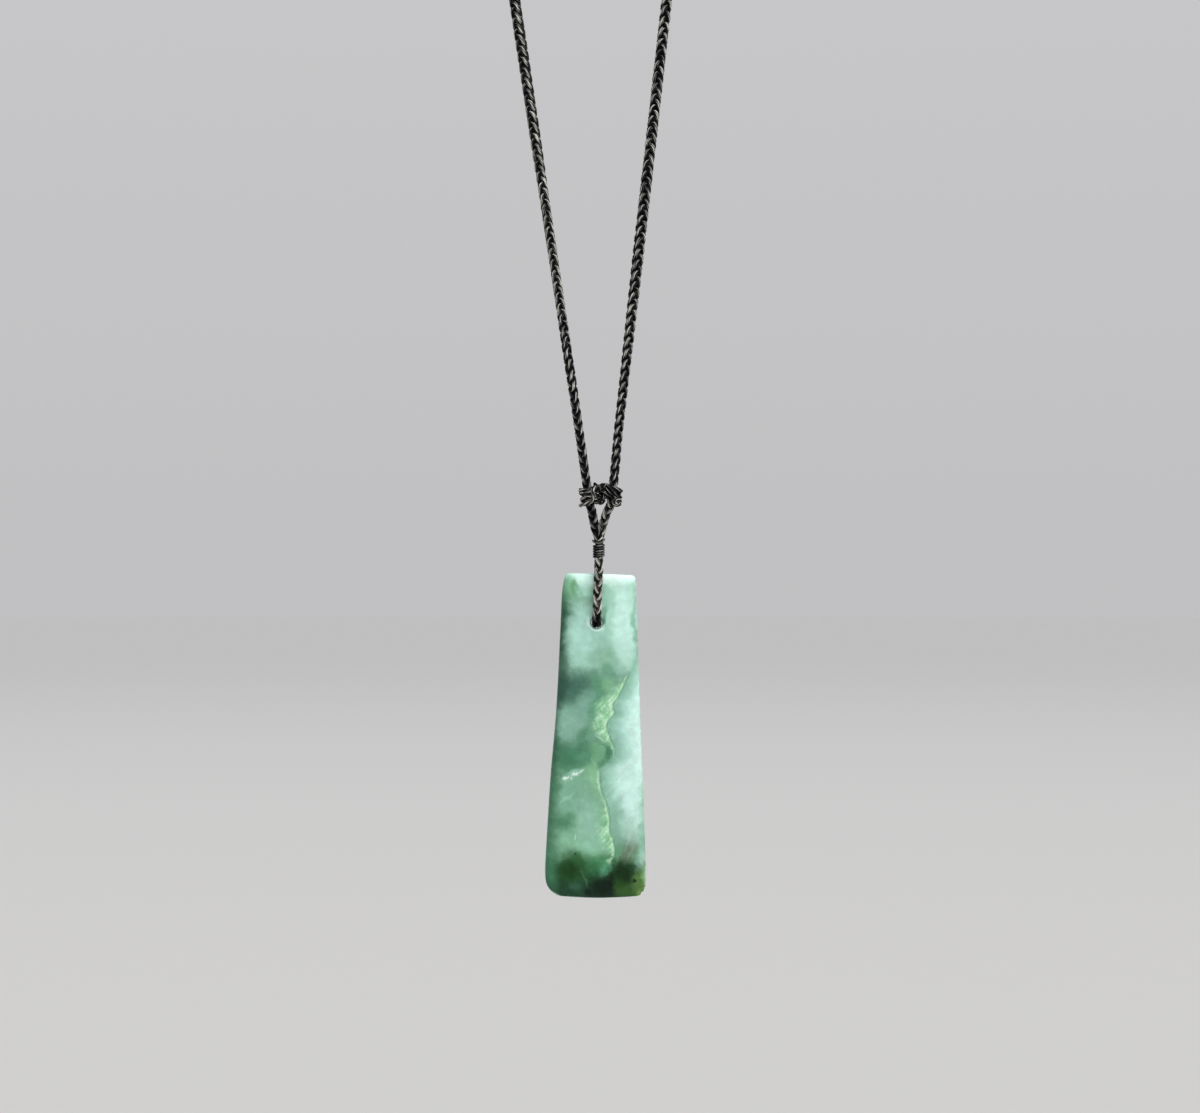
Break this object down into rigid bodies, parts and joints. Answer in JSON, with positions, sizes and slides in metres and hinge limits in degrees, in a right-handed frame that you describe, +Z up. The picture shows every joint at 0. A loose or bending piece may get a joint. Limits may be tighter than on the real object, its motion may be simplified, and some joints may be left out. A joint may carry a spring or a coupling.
{
  "type": "toki pendant necklace",
  "caption": "Adze-shaped green stone pendant hanging from a drilled hole on a dark plaited cord, bound above the stone and worn as a loop round the neck.",
  "frame": {"origin": "underside of the top of the loop, in the middle of the join at the back of the neck, where the necklace hangs", "axes": "+Z up along the hanging loop, +X to the right as the front is seen, +Y away from the viewer, through the stone's thickness"},
  "size_m": [0.0822, 0.0092, 0.4234],
  "materials": {
    "stone": "polished, milky pale green with darker patches and a bright vein",
    "plaited_cord": "plait of four waxed strands, dull sheen",
    "waxed_thread": "waxed thread, soft sheen",
    "waxed_strand": "waxed strands laid side by side, dull sheen"
  },
  "bodies": {
    "cord": {"cord_left": "plaited_cord", "cord_right": "plaited_cord", "whipping": "waxed_thread", "lashing_left": "waxed_strand", "lashing_right": "waxed_strand", "cross_tie": "waxed_strand", "back_join": "waxed_thread"},
    "stone": {"toki_stone": "stone"}
  },
  "joints": [
    {"name": "stone_swing", "type": "hinge", "parent": "cord", "child": "stone", "pos_m": [0.00451, 0, -0.35645], "axis": [0, 1, 0], "range_deg": [-90, 90]}
  ]
}
